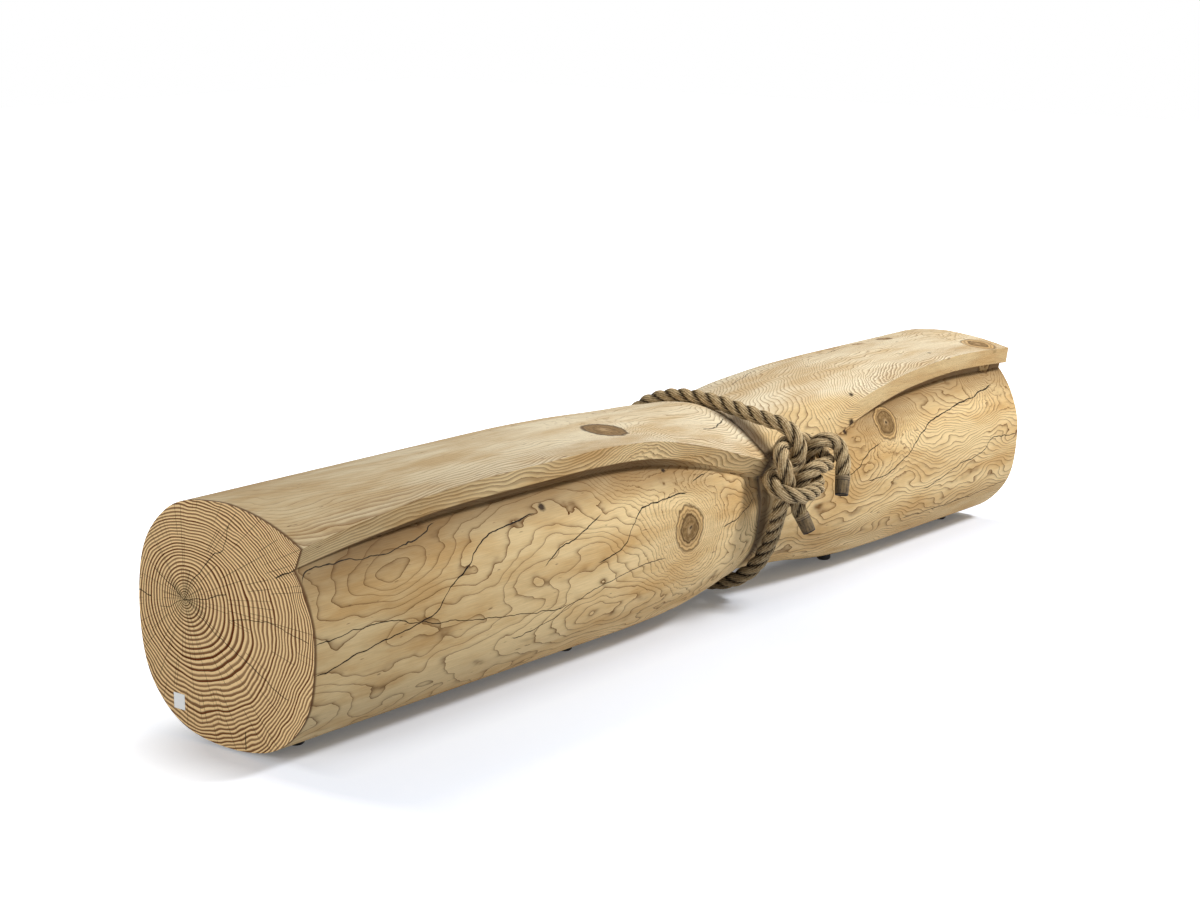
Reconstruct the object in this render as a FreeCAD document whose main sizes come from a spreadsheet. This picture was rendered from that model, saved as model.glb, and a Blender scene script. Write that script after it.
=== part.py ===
"""Rustic log bench: one carved cedar trunk with a squeezed waist, tied round with a heavy rope.

The part stands on the XY plane with +Z up. X runs along the trunk, with the near end at -X, and
the rolled lip looks towards -Y. The origin is on the ground under the middle of the trunk.
"""
import FreeCAD, Part
import Sketcher
import math
import os

from FreeCAD import Placement, Rotation, Vector

doc = FreeCAD.newDocument("log_bench")
sheet = doc.addObject("Spreadsheet::Sheet", "sizes")

# Driving sizes, in millimetres.
SIZES = (
    ("log_length", 2260, "trunk, end face to end face"),
    ("log_width", 434, "trunk across its full girth"),
    ("log_height", 429, "trunk from underside to crest"),
    ("ground_gap", 4, "air under the trunk"),
    ("lip_thickness", 35, "height of the rolled lip's front face"),
    ("lip_overhang", 25, "deepest undercut below the lip"),
    ("neck_height", 18, "tallest wall between the lip and the round body"),
    ("rope_width", 30, "diameter of the three-strand rope"),
    ("sleeve_mouth", 32, "end sleeve's width where the rope meets it"),
    ("sleeve_tip", 27, "end sleeve's width at its free end"),
    ("sleeve_length", 40, "end sleeve"),
    ("sleeve_wall", 2, "wall left round the open end of a sleeve"),
    ("sleeve_hollow", 8, "depth of the open end of a sleeve"),
    ("glide_width", 30, "round glide"),
    ("glide_height", 28, "glide, most of it let into the trunk"),
    ("glide_bevel", 3, "bevel round the glide's foot"),
    ("glide_spread", 128, "distance between the front and back rows of glides"),
    ("screw_width", 5, "shank of a glide screw"),
    ("screw_head", 10, "head of a glide screw"),
    ("screw_head_depth", 3, "countersunk cone of the head"),
    ("screw_recess", 4, "head's height above the ground"),
    ("screw_length", 55, "whole screw, head to point"),
    ("screw_point", 6, "pointed end of the screw"),
    ("plate_width", 28, "blank plate on the near end"),
    ("plate_height", 28, "blank plate on the near end"),
    ("plate_thickness", 2, "blank plate, let in flush"),
    ("plate_side", 121, "plate's centre, towards the back"),
    ("plate_up", 62, "plate's centre above the ground"),
    ("seat_play", 0.3, "clearance round a glide, a plate or a screw"),
    ("cut_overrun", 5, "how far a cutting tool runs past its cut"),
)

for row, (name, value, meaning) in enumerate(SIZES, start=1):
    sheet.set("A%d" % row, name)
    sheet.set("B%d" % row, str(value))
    sheet.set("C%d" % row, meaning)
    sheet.setAlias("B%d" % row, name)
doc.recompute()


def size(name):
    """The value of one named cell of the sheet."""
    return float(sheet.get(name))


half_length = size("log_length") / 2
half_width = size("log_width") / 2
half_height = size("log_height") / 2
axis_height = size("ground_gap") + half_height

# The trunk's sections from the near end to the far end, as shares of its own sizes.
#   place     along the length, from the near end
#   crest     height of the crest above the axis, of half the height
#   base      depth of the underside below the axis, of half the height
#   girth     reach to the front, of half the width; the back draws in half as much
#   square    exponent of the rounded outline: 2 is an ellipse, more is squarer
#   lip_out   reach of the lip's lower edge, of half the width
#   lip_up    height of the lip's lower edge above the axis, of half the height
#   undercut  depth and height of the hollow below the lip, of its largest size
#   lean      how far the lip's upper edge stands out past the lower, of the lip's thickness
#   crown     exponent of the fall from the crest to the lip's upper edge
SECTION_SHARES = (
    # place, crest,  base, girth, square, lip_out, lip_up, undercut, lean, crown
    (0.000, 1.000, 1.000, 1.000, 2.45, 0.811, 0.605, 0.16, 0.43, 2.0),
    (0.066, 1.000, 1.000, 1.000, 2.45, 0.811, 0.686, 0.40, 0.25, 2.0),
    (0.200, 1.000, 1.000, 1.000, 2.45, 0.820, 0.775, 1.00, 0.12, 2.0),
    (0.333, 1.000, 1.000, 1.000, 2.45, 0.820, 0.770, 1.00, 0.12, 2.0),
    (0.407, 0.977, 1.000, 1.000, 2.45, 0.825, 0.724, 0.95, 0.15, 2.0),
    (0.478, 0.933, 0.972, 0.990, 2.40, 0.876, 0.564, 0.50, 0.29, 2.0),
    (0.529, 0.910, 0.903, 0.950, 2.30, 0.903, 0.395, 0.30, 0.46, 2.0),
    (0.553, 0.895, 0.885, 0.900, 2.20, 0.899, 0.319, 0.40, 0.49, 2.0),
    (0.567, 0.876, 0.862, 0.866, 2.20, 0.880, 0.281, 0.40, 0.57, 2.0),
    (0.580, 0.829, 0.832, 0.783, 2.15, 0.793, 0.267, 0.32, 0.45, 2.0),
    (0.592, 0.852, 0.837, 0.820, 2.15, 0.820, 0.286, 0.24, 0.25, 2.6),
    (0.620, 0.895, 0.855, 0.876, 2.20, 0.839, 0.319, 0.08, -0.20, 3.0),
    (0.664, 0.943, 0.886, 0.935, 2.35, 0.862, 0.405, 0.06, -0.40, 3.5),
    (0.708, 0.971, 0.953, 0.963, 2.40, 0.853, 0.519, 0.20, -0.20, 3.5),
    (0.752, 0.990, 0.990, 0.986, 2.45, 0.853, 0.638, 0.55, -0.10, 3.0),
    (0.820, 1.000, 1.000, 1.000, 2.45, 0.848, 0.748, 0.85, 0.05, 2.2),
    (0.900, 1.000, 1.000, 1.000, 2.45, 0.843, 0.786, 1.00, 0.06, 2.0),
    (0.965, 1.000, 1.000, 1.000, 2.45, 0.839, 0.757, 0.90, 0.10, 2.0),
    (1.000, 1.000, 1.000, 1.000, 2.45, 0.830, 0.729, 0.76, 0.15, 2.0),
)
SECTION_COLUMNS = ("place", "crest", "base", "girth", "square", "lip_out", "lip_up", "undercut",
                   "lean", "crown")
# How far along the undercut its inner corner lies, and how far the lip's underside drops to it.
CORNER_SHARE = 0.85
UNDERSIDE_DROP_SHARE = 0.12
CROWN_STEPS = 5
QUARTER_STEPS = 5
SHOULDER_STEPS = 3

# Sections no further apart than this share of the length are eased in between those of the table.
STATION_STEP_SHARE = 0.03

# The glides' places along the trunk, as shares of its length from the near end.
GLIDE_SHARES = (0.043, 0.358, 0.750, 0.963)

# The rope's route: from the upper end sleeve through the reef knot, over the crest, down behind
# and under the waist, up through the knot again and out to the lower end sleeve.
ROPE_POINTS = (
    (291, -292, 269),
    (301, -287, 296),
    (306, -275, 323),
    (287, -265, 345),
    (258, -251, 341),
    (250, -228, 315),
    (268, -228, 278),
    (253, -261, 250),
    (199, -282, 253),
    (143, -296, 252),
    (98, -276, 265),
    (107, -234, 284),
    (153, -224, 290),
    (196, -256, 309),
    (184, -247, 380),
    (180, -150, 394),
    (180, -34, 414),
    (180, 78, 411),
    (180, 170, 367),
    (180, 213, 262),
    (180, 205, 147),
    (180, 150, 62),
    (180, 50, 23),
    (180, -64, 24),
    (180, -144, 61),
    (178, -193, 130),
    (132, -249, 229),
    (146, -257, 264),
    (124, -271, 295),
    (127, -251, 334),
    (169, -224, 342),
    (220, -209, 345),
    (270, -200, 341),
    (308, -217, 315),
    (297, -255, 291),
    (253, -269, 294),
    (210, -275, 297),
    (183, -263, 276),
    (180, -246, 251),
    (189, -247, 225),
    (195, -257, 201),
)
# The share of the shorter run that a bend of the rope takes up on each side of its corner.
BEND_SHARE = 0.45
# Points along the rope per rope width, to measure how close it comes to itself.
GAUGE_POINTS = 12
# Turns of the rope within this many widths along it are the same bend, not a near miss.
SAME_BEND_WIDTHS = 2.1


def section_curve(share):
    """Points round one section, from the lip's upper edge over the crest to under the lip."""
    crest = share["crest"] * half_height
    base = share["base"] * half_height
    front = share["girth"] * half_width
    back = (1 + share["girth"]) / 2 * half_width
    power = 2 / share["square"]
    under_y = -share["lip_out"] * half_width
    under_z = share["lip_up"] * half_height
    upper_y = under_y - share["lean"] * size("lip_thickness")
    upper_z = under_z + size("lip_thickness")
    overhang = share["undercut"] * size("lip_overhang")
    neck_y = under_y + overhang
    neck_z = under_z - share["undercut"] * size("neck_height")
    corner_y = under_y + CORNER_SHARE * overhang
    corner_z = under_z - UNDERSIDE_DROP_SHARE * overhang

    points = []
    for step in range(CROWN_STEPS):
        part_way = step / CROWN_STEPS
        fall = (crest - upper_z) * (1 - part_way) ** share["crown"]
        points.append((upper_y * (1 - part_way), crest - fall))
    quarters = ((90, 0, back, crest), (0, -90, back, base), (-90, -180, front, base))
    for start, stop, reach, rise in quarters:
        for step in range(QUARTER_STEPS):
            angle = math.radians(start + (stop - start) * step / QUARTER_STEPS)
            side = math.copysign(abs(math.cos(angle)) ** power, math.cos(angle))
            up = math.copysign(abs(math.sin(angle)) ** power, math.sin(angle))
            points.append((reach * side, rise * up))
    bulge = neck_z / math.sqrt(1 - (neck_y / front) ** 2)
    widest = math.acos(-1)
    neck_angle = math.acos(neck_y / front)
    for step in range(SHOULDER_STEPS + 1):
        angle = widest + (neck_angle - widest) * step / SHOULDER_STEPS
        points.append((front * math.cos(angle), bulge * math.sin(angle)))
    return points, (corner_y, corner_z), (under_y, under_z)


def section_wire(share):
    """One section of the trunk as a closed wire: round body, neck, lip's underside, lip's face."""
    x = (share["place"] - 1 / 2) * size("log_length")
    around, corner, under = section_curve(share)
    round_points = [Vector(x, y, axis_height + z) for y, z in around]
    corner_point = Vector(x, corner[0], axis_height + corner[1])
    under_point = Vector(x, under[0], axis_height + under[1])
    outline = Part.BSplineCurve()
    outline.interpolate(Points=round_points, Parameters=list(range(len(round_points))))
    edges = [
        outline.toShape(),
        Part.makeLine(round_points[-1], corner_point),
        Part.makeLine(corner_point, under_point),
        Part.makeLine(under_point, round_points[0]),
    ]
    return Part.Wire(edges)


def eased(places, values):
    """A smooth curve through the values that never overshoots them between two places."""
    last = len(places) - 1
    steps = [places[i + 1] - places[i] for i in range(last)]
    rises = [(values[i + 1] - values[i]) / steps[i] for i in range(last)]
    slopes = [rises[0]] + [0] * (last - 1) + [rises[-1]]
    for i in range(1, last):
        if rises[i - 1] * rises[i] > 0:
            before = 2 * steps[i] + steps[i - 1]
            after = steps[i] + 2 * steps[i - 1]
            slopes[i] = (before + after) / (before / rises[i - 1] + after / rises[i])

    def value_at(place):
        i = max(k for k in range(last) if places[k] <= place)
        t = (place - places[i]) / steps[i]
        start = (2 * t**3 - 3 * t**2 + 1) * values[i]
        leaving = (t**3 - 2 * t**2 + t) * steps[i] * slopes[i]
        stop = (3 * t**2 - 2 * t**3) * values[i + 1]
        arriving = (t**3 - t**2) * steps[i] * slopes[i + 1]
        return start + leaving + stop + arriving

    return value_at


def trunk_stations():
    """The table's sections with eased ones between them."""
    columns = dict(zip(SECTION_COLUMNS, zip(*SECTION_SHARES)))
    places = columns["place"]
    curves = {name: eased(places, columns[name]) for name in SECTION_COLUMNS[1:]}
    stations = []
    for start, stop in zip(places, places[1:]):
        count = math.ceil((stop - start) / STATION_STEP_SHARE)
        stations += [start + (stop - start) * step / count for step in range(count)]
    stations.append(places[-1])
    return [{"place": place, **{name: curves[name](place) for name in curves}}
            for place in stations]


def make_trunk():
    """The carved trunk before its seats are cut: one smooth loft through the sections."""
    sections = [section_wire(share) for share in trunk_stations()]
    blank = doc.addObject("Part::Feature", "trunk_blank")
    blank.Shape = Part.makeLoft(sections, True, False)
    return blank


def bind(thing, **sizes):
    """Ties properties of an object to expressions on the sheet."""
    for name, expression in sizes.items():
        thing.setExpression(name.replace("__", "."), expression)
    return thing


def put(thing, x="0", y="0", z="0"):
    """Ties an object's place to expressions on the sheet."""
    thing.setExpression("Placement.Base.x", x)
    thing.setExpression("Placement.Base.y", y)
    thing.setExpression("Placement.Base.z", z)
    return thing


def cylinder(name, radius, height):
    """An upright cylinder bound to the sheet."""
    return bind(doc.addObject("Part::Cylinder", name), Radius=radius, Height=height)


def cone(name, low_radius, high_radius, height):
    """An upright cone bound to the sheet."""
    shape = doc.addObject("Part::Cone", name)
    return bind(shape, Radius1=low_radius, Radius2=high_radius, Height=height)


def box(name, length, width, height):
    """A box bound to the sheet."""
    return bind(doc.addObject("Part::Box", name), Length=length, Width=width, Height=height)


def turned_body(name, profile):
    """A body turned about its own Z axis from a closed profile of (radius, height) expressions."""
    body = doc.addObject("PartDesign::Body", name)
    planes = {feature.Role: feature for feature in body.Origin.OriginFeatures}
    sketch = body.newObject("Sketcher::SketchObject", name + "_profile")
    sketch.AttachmentSupport = [(planes["XZ_Plane"], "")]
    sketch.MapMode = "FlatFace"
    corners = [Vector(number(radius), number(height), 0) for radius, height in profile]
    count = len(corners)
    for index in range(count):
        line = Part.LineSegment(corners[index], corners[(index + 1) % count])
        sketch.addGeometry(line, False)
    for index in range(count):
        sketch.addConstraint(Sketcher.Constraint("Coincident", index, 2, (index + 1) % count, 1))
    for index, expressions in enumerate(profile):
        for kind, axis, expression in zip(("DistanceX", "DistanceY"), (-2, -1), expressions):
            if expression == "0":
                sketch.addConstraint(Sketcher.Constraint("PointOnObject", index, 1, axis))
                continue
            tie = Sketcher.Constraint(kind, -1, 1, index, 1, number(expression))
            tied = sketch.addConstraint(tie)
            sketch.setExpression("Constraints[%d]" % tied, expression)
    turn = body.newObject("PartDesign::Revolution", name + "_turn")
    turn.Profile = sketch
    turn.ReferenceAxis = (sketch, ["V_Axis"])
    turn.Angle = 360
    return body


def number(expression):
    """The value that an expression of the sheet's names has now."""
    return float(sheet.evalExpression(expression.replace("sizes.", "")))


along = ["sizes.log_length * (%s - 0.5)" % share for share in GLIDE_SHARES]
GLIDES = []
for side, sign in (("front", "-"), ("back", "")):
    for index, x in enumerate(along, start=1):
        GLIDES.append(("%s_%d" % (side, index), x, sign + "sizes.glide_spread / 2"))


def make_glides():
    """Round glides, bored and countersunk from below for their screws."""
    shank = "(sizes.screw_width / 2 + sizes.seat_play)"
    head = "(sizes.screw_head / 2 + sizes.seat_play)"
    cone_rise = "sizes.screw_head_depth * (sizes.screw_head / 2 - %s)" % shank
    cone_run = "((sizes.screw_head - sizes.screw_width) / 2)"
    profile = (
        (head, "0"),
        ("sizes.glide_width / 2 - sizes.glide_bevel", "0"),
        ("sizes.glide_width / 2", "sizes.glide_bevel"),
        ("sizes.glide_width / 2", "sizes.glide_height"),
        (shank, "sizes.glide_height"),
        (shank, "sizes.screw_recess + %s / %s" % (cone_rise, cone_run)),
        ("sizes.screw_head / 2", "sizes.screw_recess"),
        (head, "sizes.screw_recess"),
    )
    return [put(turned_body("glide_" + name, profile), x, y) for name, x, y in GLIDES]


def make_screw(name, x, y):
    """One countersunk wood screw, head down."""
    shank_start = "sizes.screw_recess + sizes.screw_head_depth"
    shank_length = "sizes.screw_length - sizes.screw_head_depth - sizes.screw_point"
    point_start = "sizes.screw_recess + sizes.screw_length - sizes.screw_point"
    radius = "sizes.screw_width / 2"
    head = cone(name + "_head", "sizes.screw_head / 2", radius, "sizes.screw_head_depth")
    shank = cylinder(name + "_shank", radius, shank_length)
    point = cone(name + "_point", radius, "0 * sizes.screw_width", "sizes.screw_point")
    put(head, x, y, "sizes.screw_recess")
    put(shank, x, y, shank_start)
    put(point, x, y, point_start)
    screw = doc.addObject("Part::MultiFuse", name)
    screw.Shapes = [head, shank, point]
    return screw


def make_screws():
    """All the glide screws, as separate solids of one group."""
    screws = doc.addObject("Part::Compound", "glide_screws")
    screws.Links = [make_screw("screw_" + name, x, y) for name, x, y in GLIDES]
    return screws


def make_plate():
    """The blank plate, let in flush with the near end."""
    plate = box("end_plate", "sizes.plate_thickness", "sizes.plate_width", "sizes.plate_height")
    low_y = "sizes.plate_side - sizes.plate_width / 2"
    low_z = "sizes.plate_up - sizes.plate_height / 2"
    return put(plate, "-sizes.log_length / 2", low_y, low_z)


def make_cuts():
    """Everything cut out of the trunk: glide seats, pilot holes and the plate's pocket."""
    tools = []
    for name, x, y in GLIDES:
        seat = cylinder("seat_" + name, "sizes.glide_width / 2 + sizes.seat_play",
                        "sizes.glide_height + sizes.cut_overrun")
        put(seat, x, y, "-sizes.cut_overrun")
        pilot = cylinder("pilot_" + name, "sizes.screw_width / 2 + sizes.seat_play",
                         "sizes.screw_recess + sizes.screw_length + sizes.seat_play")
        put(pilot, x, y)
        tools += [seat, pilot]
    pocket = box("plate_pocket", "sizes.plate_thickness + sizes.cut_overrun",
                 "sizes.plate_width + 2 * sizes.seat_play",
                 "sizes.plate_height + 2 * sizes.seat_play")
    low_y = "sizes.plate_side - sizes.plate_width / 2 - sizes.seat_play"
    low_z = "sizes.plate_up - sizes.plate_height / 2 - sizes.seat_play"
    put(pocket, "-sizes.log_length / 2 - sizes.cut_overrun", low_y, low_z)
    cuts = doc.addObject("Part::MultiFuse", "trunk_cuts")
    cuts.Shapes = tools + [pocket]
    return cuts


def rope_line(points):
    """The rope's centre line: straight runs, with an arc that touches both at every corner."""
    edges = []
    radii = []
    here = points[0]
    for before, corner, after in zip(points, points[1:], points[2:]):
        incoming = corner - before
        outgoing = after - corner
        reach = BEND_SHARE * min(incoming.Length, outgoing.Length)
        turn = incoming.getAngle(outgoing)
        radius = reach / math.tan(turn / 2)
        incoming.normalize()
        outgoing.normalize()
        start = corner - incoming * reach
        stop = corner + outgoing * reach
        inwards = outgoing - incoming
        inwards.normalize()
        middle = corner + inwards * (radius / math.cos(turn / 2) - radius)
        edges.append(Part.LineSegment(here, start).toShape())
        edges.append(Part.Arc(start, middle, stop).toShape())
        radii.append(radius)
        here = stop
    edges.append(Part.LineSegment(here, points[-1]).toShape())
    return Part.Wire(edges), radii


def report_rope(line, radii, solid):
    """Prints the rope's bends, its volume against its length, and its least gap to itself."""
    width = size("rope_width")
    count = int(line.Length / width * GAUGE_POINTS)
    gauge = line.discretize(Number=count)
    apart = int(SAME_BEND_WIDTHS * GAUGE_POINTS)
    least = min(
        gauge[i].distanceToPoint(gauge[k])
        for i in range(count)
        for k in range(i + apart, count)
    )
    print("rope bend radii", [round(radius, 1) for radius in radii])
    print("rope length", round(line.Length, 1), "least gap to itself", round(least - width, 2))
    section = math.pi * width**2 / 4
    print("rope volume", round(solid.Volume), "section times length",
          round(section * line.Length))


def make_rope():
    """The rope as one unbroken round tube along its route."""
    points = [Vector(*point) for point in ROPE_POINTS]
    line, radii = rope_line(points)
    circle = Part.Circle(points[0], points[1] - points[0], size("rope_width") / 2)
    solid = line.makePipeShell([Part.Wire([circle.toShape()])], True, False)
    report_rope(line, radii, solid)
    rope = doc.addObject("Part::Feature", "rope")
    rope.Shape = solid
    return rope


def make_sleeves():
    """The sleeve on each end of the rope, butted on its end face and open at the far end."""
    inner = "sizes.sleeve_tip / 2 - sizes.sleeve_wall"
    floor = "sizes.sleeve_length - sizes.sleeve_hollow"
    profile = (
        ("0", "0"),
        ("sizes.sleeve_mouth / 2", "0"),
        ("sizes.sleeve_tip / 2", "sizes.sleeve_length"),
        (inner, "sizes.sleeve_length"),
        (inner, floor),
        ("0", floor),
    )
    sleeves = []
    ends = (("upper_sleeve", ROPE_POINTS[0], ROPE_POINTS[1]),
            ("lower_sleeve", ROPE_POINTS[-1], ROPE_POINTS[-2]))
    for name, end, before in ends:
        sleeve = turned_body(name, profile)
        outwards = Vector(*end) - Vector(*before)
        sleeve.Placement = Placement(Vector(*end), Rotation(Vector(0, 0, 1), outwards))
        sleeves.append(sleeve)
    return sleeves


def make_log():
    """The trunk with its seats, holes and pocket cut."""
    log = doc.addObject("Part::Cut", "log")
    log.Base = make_trunk()
    log.Tool = make_cuts()
    return log


sub_parts = [make_log(), make_rope()] + make_sleeves() + make_glides()
sub_parts += [make_screws(), make_plate()]
doc.recompute()

for thing in doc.Objects:
    if "Invalid" in thing.State or "Error" in thing.State:
        raise RuntimeError("%s is %s" % (thing.Name, thing.State))
os.makedirs("parts", exist_ok=True)
for sub_part in sub_parts:
    if sub_part.Shape.isNull() or not sub_part.Shape.isValid():
        raise RuntimeError("%s has no sound shape" % sub_part.Name)
    sub_part.Label = sub_part.Name
    sub_part.Shape.exportStep("parts/%s.step" % sub_part.Name)
    print(sub_part.Name, len(sub_part.Shape.Solids), "solids", round(sub_part.Shape.Volume))
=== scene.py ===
# %% [markdown]
# # A carved log bench
#
# One cedar trunk is carved into a long seat with a rolled lip along its front. A rope pulls it in
# at a waist and ends in a reef knot. The solids come ready from the CAD frame, in metres, so this
# lesson gives the wood its rings, knots and drying cracks, and the rope its three strands.

# %% Load the frame
import math
import random

import bmesh
import bpy
from mathutils import Matrix, Vector


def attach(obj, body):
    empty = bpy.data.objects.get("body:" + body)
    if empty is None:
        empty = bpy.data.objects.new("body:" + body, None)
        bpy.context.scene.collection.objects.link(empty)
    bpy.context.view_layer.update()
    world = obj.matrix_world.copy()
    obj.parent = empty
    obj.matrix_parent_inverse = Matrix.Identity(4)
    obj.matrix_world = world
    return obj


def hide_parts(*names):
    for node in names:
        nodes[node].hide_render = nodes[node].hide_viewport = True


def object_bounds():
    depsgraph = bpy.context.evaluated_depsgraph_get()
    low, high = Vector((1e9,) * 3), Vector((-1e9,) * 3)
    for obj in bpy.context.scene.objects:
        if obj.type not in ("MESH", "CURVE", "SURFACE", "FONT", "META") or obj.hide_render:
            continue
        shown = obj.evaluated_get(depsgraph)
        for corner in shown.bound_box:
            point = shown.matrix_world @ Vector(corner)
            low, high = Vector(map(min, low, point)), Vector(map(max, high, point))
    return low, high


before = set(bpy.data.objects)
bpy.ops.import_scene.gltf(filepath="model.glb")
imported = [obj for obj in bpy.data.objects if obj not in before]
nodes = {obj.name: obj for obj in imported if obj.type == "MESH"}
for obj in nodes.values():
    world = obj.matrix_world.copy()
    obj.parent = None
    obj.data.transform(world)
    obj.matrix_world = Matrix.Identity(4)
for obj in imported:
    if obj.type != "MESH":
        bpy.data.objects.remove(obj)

cad_low, cad_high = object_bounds()
print("CAD box", [round(v, 3) for v in cad_low], [round(v, 3) for v in cad_high])

# %% [markdown]
# ## Four helpers for every finish
#
# A finish is a tree of shader nodes. One function adds a node: its plain arguments fill the
# node's inputs in order, a None leaves one as it is, "do" is a maths node's operation, and other
# named arguments are the node's own options. A map range reads: the value, where it starts and
# ends, and what it gives there. Colours are written as the sRGB hex values that a picture editor
# shows, and Blender's shaders want linear light, so one function turns them. The last two start
# a finish and complete it.

# %% Write the helpers
def shade(tree, kind, *inputs, out=0, do=None, **options):
    """Adds one shader node and gives back one of its outputs."""
    made = tree.nodes.new("ShaderNode" + kind)
    if do:
        made.operation = do
    for name, value in options.items():
        setattr(made, name, value)
    for socket, value in zip(made.inputs, inputs):
        if isinstance(value, bpy.types.NodeSocket):
            tree.links.new(value, socket)
        elif value is not None:
            socket.default_value = value
    return made.outputs[out]


def colour(hex_code):
    """An sRGB hex colour as linear red, green, blue and alpha."""
    parts = [int(hex_code[i:i + 2], 16) / 255 for i in (1, 3, 5)]
    return [v / 12.92 if v <= 0.04045 else ((v + 0.055) / 1.055) ** 2.4 for v in parts] + [1]


def finish_named(name):
    """A new material, its node tree and its surface shader."""
    finish = bpy.data.materials.new(name)
    finish.use_nodes = True
    tree = finish.node_tree
    return finish, tree, tree.nodes["Principled BSDF"]


def coat(tree, surface, skin, values, relief=None):
    """Gives a surface shader its colour, its plain values and, if there is one, its relief."""
    tree.links.new(skin, surface.inputs["Base Color"])
    for name, value in values.items():
        surface.inputs[name].default_value = value
    if relief is not None:
        tree.links.new(relief, surface.inputs["Normal"])


MM = 0.001
print("mid grey in linear light:", round(colour("#808080")[0], 3))

# %% [markdown]
# ## The camera and the floor
#
# The long edges of the log run to one vanishing point, which gives the lens and the tilt. With a
# seat 0.43 m high, the same edges give the camera's place, 5 m from the middle of the bench. The
# floor is pale paper. Around the bench's shadow it has a glow that only the camera sees, so it
# runs out to plain white. The glow rises four times as fast past the bench's ends as in front of
# it, and three times as fast behind it, because the light throws the shadow forwards.

# %% Place the camera
SENSOR_MM = 36
LENS_MM = 73.2
CAMERA_PLACE = (-3.7755, -2.9934, 1.3823)
DEGREES_DOWN = 12.289
DEGREES_OFF_TRUNK = 39.424
camera_data = bpy.data.cameras.new("studio camera")
camera_data.sensor_width = SENSOR_MM
camera_data.lens = LENS_MM
camera = bpy.data.objects.new("studio camera", camera_data)
camera.location = CAMERA_PLACE
camera.rotation_euler = (math.radians(90 - DEGREES_DOWN), 0, math.radians(DEGREES_OFF_TRUNK - 90))
bpy.context.collection.objects.link(camera)
bpy.context.scene.camera = camera
bpy.context.scene.view_settings.view_transform = "Standard"
print("camera stands", round(camera.location.length, 2), "m from the middle of the bench")

# %% Lay the floor
FLOOR_HALF = 12
SHADOW_HALF_LENGTH = 1.10
SHADOW_HALF_DEPTH = 0.10
SHADOW_MIDDLE_Y = -0.06
PAST_ENDS = 4
BEHIND = 3
floor_mesh = bpy.data.meshes.new("studio floor")
form = bmesh.new()
bmesh.ops.create_grid(form, x_segments=1, y_segments=1, size=FLOOR_HALF)
form.to_mesh(floor_mesh)
form.free()
floor = bpy.data.objects.new("studio floor", floor_mesh)
bpy.context.collection.objects.link(floor)

paper, tree, surface = finish_named("white studio paper")
surface.inputs["Base Color"].default_value = colour("#DDE2EC")
surface.inputs["Roughness"].default_value = 0.9
around = shade(tree, "VectorMath", shade(tree, "TexCoord", out=3), (0, -SHADOW_MIDDLE_Y, 0),
               do="ADD")
behind = shade(tree, "VectorMath", around, (PAST_ENDS, BEHIND, 0), do="MULTIPLY")
in_front = shade(tree, "VectorMath", around, (-PAST_ENDS, -1, 0), do="MULTIPLY")
around = shade(tree, "VectorMath", behind, in_front, do="MAXIMUM")
beyond = shade(tree, "VectorMath", around, (PAST_ENDS * SHADOW_HALF_LENGTH, SHADOW_HALF_DEPTH, 0),
               do="SUBTRACT")
beyond = shade(tree, "VectorMath", beyond, (0, 0, 0), do="MAXIMUM")
distance = shade(tree, "VectorMath", beyond, do="LENGTH", out=1)
near_lift = shade(tree, "MapRange", distance, 0.0, 0.10, 0.11, 0.23)
far_lift = shade(tree, "MapRange", distance, 0.26, 1.0, 0.0, 0.75)
lift = shade(tree, "Math", near_lift, far_lift, do="ADD")
seen = shade(tree, "Math", lift, shade(tree, "LightPath"), do="MULTIPLY")
glow = shade(tree, "Emission", (1, 1, 1, 1), seen)
lit = shade(tree, "AddShader", surface.outputs[0], glow)
tree.links.new(lit, tree.nodes["Material Output"].inputs["Surface"])
floor_mesh.materials.append(paper)
print("floor is", 2 * FLOOR_HALF, "m across")

# %% [markdown]
# ## Light
#
# The seat is a little brighter than the front, and both grow brighter towards the right. So the
# main softbox hangs high on the camera's right. A weak one overhead lifts the seat, one on the
# left opens up the end grain, and the sky fills the shadows. The sky looks plain white to the
# camera and in reflections, and lights the bench much less.

# %% Hang the lamps
LAMPS = (
    # name, place, the point it looks at, width and depth in metres, power in watts
    ("overhead softbox", (1.4, 1.2, 3.0), (0.2, 0, 0.3), 1.6, 1.0, 16),
    ("right softbox", (2.2, -2.8, 3.6), (0.2, 0, 0.25), 1.1, 0.8, 222),
    ("left softbox", (-4.0, -0.3, 1.3), (-1.1, 0, 0.2), 1.2, 1.2, 39),
)
SKY_FILL = 0.22
for name, place, aim, width, depth, power in LAMPS:
    data = bpy.data.lights.new(name, "AREA")
    data.shape = "RECTANGLE"
    data.size = width
    data.size_y = depth
    data.energy = power
    box = bpy.data.objects.new(name, data)
    box.location = place
    box.rotation_euler = (Vector(aim) - Vector(place)).to_track_quat("-Z", "Y").to_euler()
    bpy.context.collection.objects.link(box)

world = bpy.data.worlds.new("studio sky")
bpy.context.scene.world = world
world.use_nodes = True
sky = world.node_tree
background = sky.nodes["Background"]
rays = shade(sky, "LightPath").node.outputs
seen = shade(sky, "Math", rays["Is Camera Ray"], rays["Is Glossy Ray"], do="MAXIMUM")
seen = shade(sky, "Math", seen, rays["Is Transmission Ray"], do="MAXIMUM")
strength = shade(sky, "Math", seen, 1 - SKY_FILL, SKY_FILL, do="MULTIPLY_ADD")
background.inputs["Color"].default_value = (1, 1, 1, 1)
sky.links.new(strength, background.inputs["Strength"])

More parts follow.
